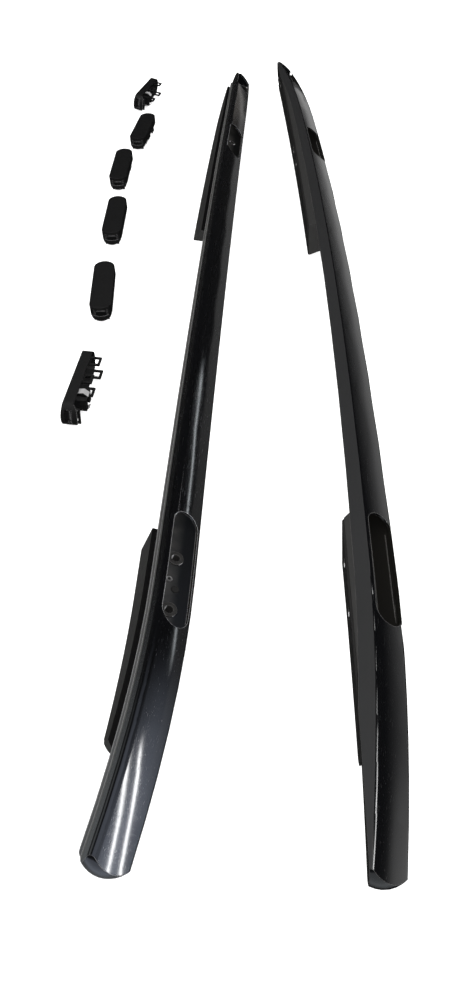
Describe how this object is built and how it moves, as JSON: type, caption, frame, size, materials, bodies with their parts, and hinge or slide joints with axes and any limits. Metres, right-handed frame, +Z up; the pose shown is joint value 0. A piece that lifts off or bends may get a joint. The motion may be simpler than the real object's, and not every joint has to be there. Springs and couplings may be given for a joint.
{
  "type": "roof side rail pair",
  "caption": "Mirror-image pair of bent roof side rails with moulded feet and bolt access slots, laid out on a floor beside the snap-in slot covers.",
  "frame": {"origin": "on the floor, under the middle of the whole layout", "axes": "+Z up, +Y from the front ends of the rails to their rear ends, +X from the left rail to the right rail"},
  "size_m": [0.422, 1.8626, 0.072],
  "materials": {
    "gloss_black": "gloss black lacquer, matte on the inboard face",
    "foot_black": "fine-grained moulding",
    "pad_rubber": "soft seal",
    "sleeve_steel": "bright steel",
    "cover_black": "grained moulding",
    "spring_steel": "bright spring steel"
  },
  "bodies": {
    "root": {"left_bar": "gloss_black", "left_front_foot": "foot_black", "left_front_pad": "pad_rubber", "left_front_sleeves": "sleeve_steel", "left_rear_foot": "foot_black", "left_rear_pad": "pad_rubber", "left_rear_sleeves": "sleeve_steel", "right_bar": "gloss_black", "right_front_foot": "foot_black", "right_front_pad": "pad_rubber", "right_front_sleeves": "sleeve_steel", "right_rear_foot": "foot_black", "right_rear_pad": "pad_rubber", "right_rear_sleeves": "sleeve_steel", "cover_1": "cover_black", "cover_1_spring": "spring_steel", "cover_2": "cover_black", "cover_2_spring": "spring_steel", "cover_3": "cover_black", "cover_3_spring": "spring_steel", "cover_4": "cover_black", "cover_4_spring": "spring_steel", "cover_5": "cover_black", "cover_5_spring": "spring_steel", "cover_6": "cover_black", "cover_6_spring": "spring_steel"}
  },
  "joints": []
}
